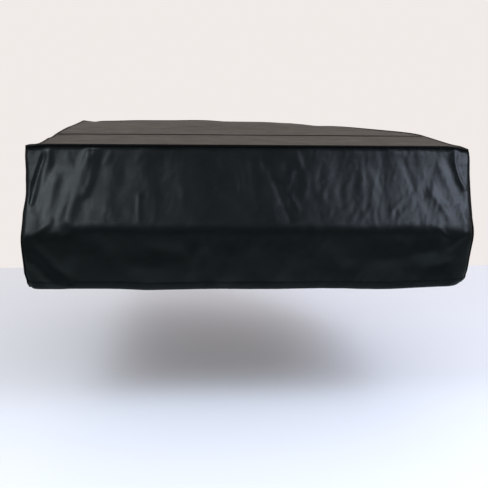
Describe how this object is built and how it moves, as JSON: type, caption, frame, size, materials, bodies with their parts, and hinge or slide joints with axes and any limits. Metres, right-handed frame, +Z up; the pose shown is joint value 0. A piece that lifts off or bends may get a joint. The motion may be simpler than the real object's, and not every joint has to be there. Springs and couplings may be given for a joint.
{
  "type": "grand piano cover",
  "caption": "Fitted black cover for a small grand piano, with a flat top, a front that slopes out over the keys, a hemmed skirt and piped seams.",
  "frame": {"origin": "on the underside of the top, at mid-width and about halfway between the front edge and the tail, where the lid carries the cover", "axes": "+X towards the treble side, +Y towards the tail, +Z up"},
  "size_m": [1.5367, 1.354, 0.4758],
  "materials": {
    "coated_cloth": "black leather-look coated cloth, fine grain, soft satin sheen",
    "piping": "the same coated cloth wrapped round a cord, satin"
  },
  "bodies": {
    "root": {"top_front_panel": "coated_cloth", "top_rear_panel": "coated_cloth", "front_panel": "coated_cloth", "left_side_panel": "coated_cloth", "right_side_panel": "coated_cloth", "top_piping": "piping", "left_corner_piping": "piping", "right_corner_piping": "piping"}
  },
  "joints": []
}
